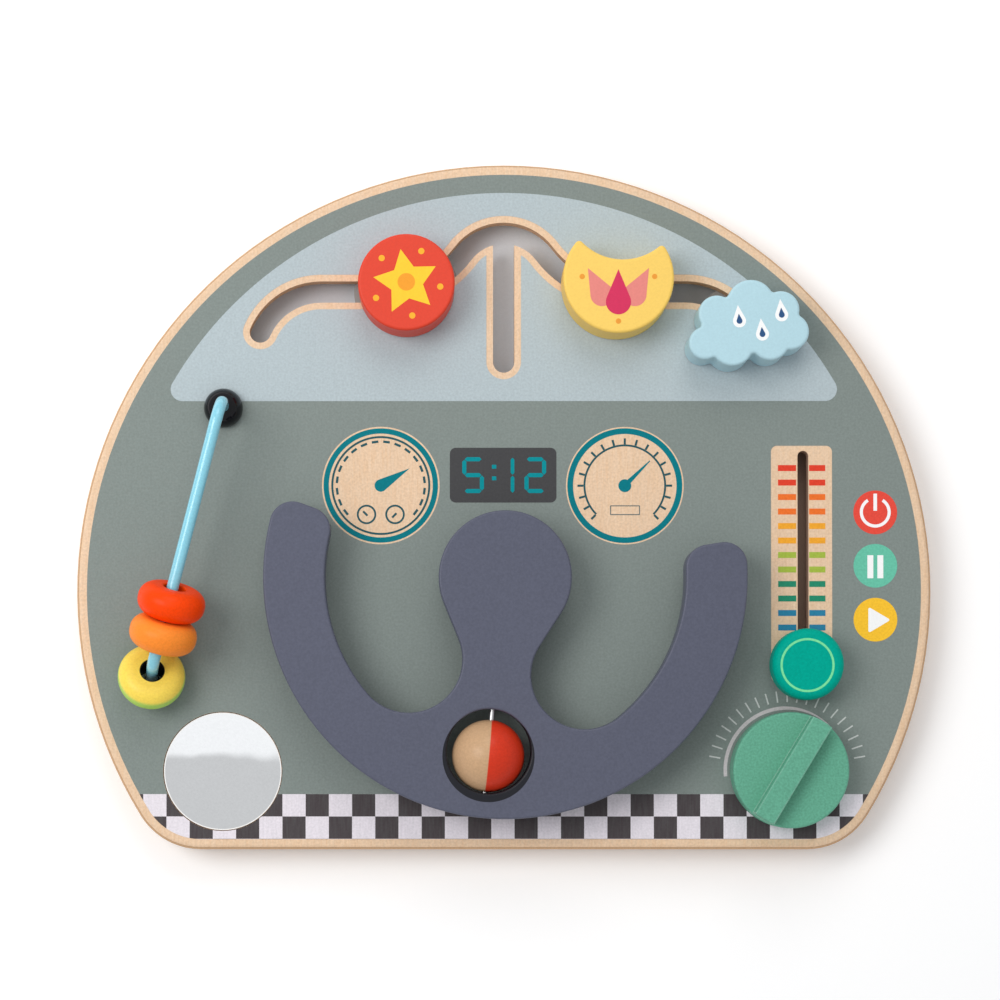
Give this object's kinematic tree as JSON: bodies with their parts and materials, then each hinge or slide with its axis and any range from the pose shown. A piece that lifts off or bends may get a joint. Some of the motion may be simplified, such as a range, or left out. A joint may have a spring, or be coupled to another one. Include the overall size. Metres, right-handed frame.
{
  "type": "wooden busy board",
  "caption": "Half-round wooden activity board with a turning steering wheel and ball, sliders in an umbrella slot, a fader, a dial, a mirror and beads on a wire.",
  "frame": {"origin": "middle of the board's bounding box, on its back face", "axes": "+Z out of the board's printed face, +Y towards the dome, +X along the straight bottom edge"},
  "size_m": [0.36, 0.2888, 0.0561],
  "materials": {
    "printed_ply": "printed birch plywood, satin",
    "ply": "bare birch plywood, sanded and sealed",
    "beech": "bare beech, sealed",
    "steel": "zinc-plated steel",
    "mirror": "acrylic mirror",
    "foam": "white adhesive foam",
    "blue_wire": "powder-coated steel rod, gloss",
    "black_plastic": "polished",
    "wheel_paint": "painted plywood, satin",
    "red_paint": "painted beech, satin",
    "orange_paint": "painted beech, satin",
    "yellow_paint": "painted beech, satin",
    "cloud_paint": "painted beech, satin",
    "fader_paint": "painted beech, satin",
    "dial_paint": "painted beech, satin",
    "ball_paint": "beech ball, one half painted red and one half bare"
  },
  "bodies": {
    "board": {"front_panel": "printed_ply", "core_frame": "ply", "back_panel": "ply", "back_screws": "steel", "mirror_disc": "mirror", "mirror_pad": "foam", "bead_wire": "blue_wire", "wire_top_cap": "black_plastic", "wire_foot_cap": "black_plastic"},
    "steering_wheel": {"steering_wheel": "wheel_paint", "wheel_spacer": "wheel_paint", "wheel_axle": "beech", "wheel_retainer": "ply", "wheel_screw": "steel", "spinner_pin": "steel"},
    "spinner_ball": {"spinner_ball": "ball_paint"},
    "fader": {"fader_knob": "fader_paint", "fader_runner": "beech", "fader_screw": "steel"},
    "dial": {"dial_knob": "dial_paint", "dial_axle": "beech", "dial_washer": "steel", "dial_screw": "steel"},
    "red_bead": {"red_bead": "red_paint"},
    "orange_bead": {"orange_bead": "orange_paint"},
    "yellow_bead": {"yellow_bead": "yellow_paint"},
    "round_carriage": {"round_slider_retainer": "ply"},
    "round_knob": {"round_slider_knob": "red_paint", "round_slider_post": "beech", "round_slider_screw": "steel"},
    "crescent_carriage": {"crescent_slider_retainer": "ply"},
    "crescent_knob": {"crescent_slider_knob": "yellow_paint", "crescent_slider_post": "beech", "crescent_slider_screw": "steel"},
    "cloud_carriage": {"cloud_slider_retainer": "ply"},
    "cloud_knob": {"cloud_slider_knob": "cloud_paint", "cloud_slider_post": "beech", "cloud_slider_screw": "steel"}
  },
  "joints": [
    {"name": "wheel_turn", "type": "hinge", "parent": "board", "child": "steering_wheel", "pos_m": [0, -0.03105, 0.018], "axis": [0, 0, 1], "continuous": true},
    {"name": "ball_spin", "type": "hinge", "parent": "steering_wheel", "child": "spinner_ball", "pos_m": [-0.00699, -0.10502, 0.0335], "axis": [-0.0941, -0.9956, 0], "continuous": true},
    {"name": "round_travel", "type": "hinge", "parent": "board", "child": "round_carriage", "pos_m": [-0.04935, 0.13055, 0.018], "axis": [0, 0, 1], "range_deg": [-12.2, 25.8]},
    {"name": "crescent_travel", "type": "hinge", "parent": "board", "child": "crescent_carriage", "pos_m": [0.04935, 0.13055, 0.018], "axis": [0, 0, -1], "range_deg": [-3.4, 34.6]},
    {"name": "cloud_travel", "type": "hinge", "parent": "board", "child": "cloud_carriage", "pos_m": [0.0769, 0.06255, 0.018], "axis": [0, 0, 1], "range_deg": [0, 30]},
    {"name": "round_spin", "type": "hinge", "parent": "round_carriage", "child": "round_knob", "pos_m": [-0.0409, 0.09145, 0.018], "axis": [0, 0, 1], "continuous": true},
    {"name": "crescent_spin", "type": "hinge", "parent": "crescent_carriage", "child": "crescent_knob", "pos_m": [0.04698, 0.09062, 0.018], "axis": [0, 0, 1], "continuous": true},
    {"name": "cloud_spin", "type": "hinge", "parent": "cloud_carriage", "child": "cloud_knob", "pos_m": [0.1026, 0.07367, 0.018], "axis": [0, 0, 1], "continuous": true},
    {"name": "fader_slide", "type": "slide", "parent": "board", "child": "fader", "axis": [0, 1, 0], "range_m": [0, 0.085]},
    {"name": "dial_turn", "type": "hinge", "parent": "board", "child": "dial", "pos_m": [0.1192, -0.11095, 0.018], "axis": [0, 0, 1], "continuous": true},
    {"name": "orange_bead_slide", "type": "slide", "parent": "board", "child": "orange_bead", "axis": [0.2567, 0.964, 0.0697], "range_m": [0, 0.062]},
    {"name": "red_bead_slide", "type": "slide", "parent": "board", "child": "red_bead", "axis": [0.2567, 0.964, 0.0697], "range_m": [0, 0.062]},
    {"name": "yellow_bead_spin", "type": "hinge", "parent": "board", "child": "yellow_bead", "pos_m": [-0.1472, -0.07199, 0.02784], "axis": [0.1495, 0.3813, 0.9123], "continuous": true}
  ],
  "couplings": [
    {"joint": "red_bead_slide", "follows": "orange_bead_slide", "ratio": 1}
  ]
}
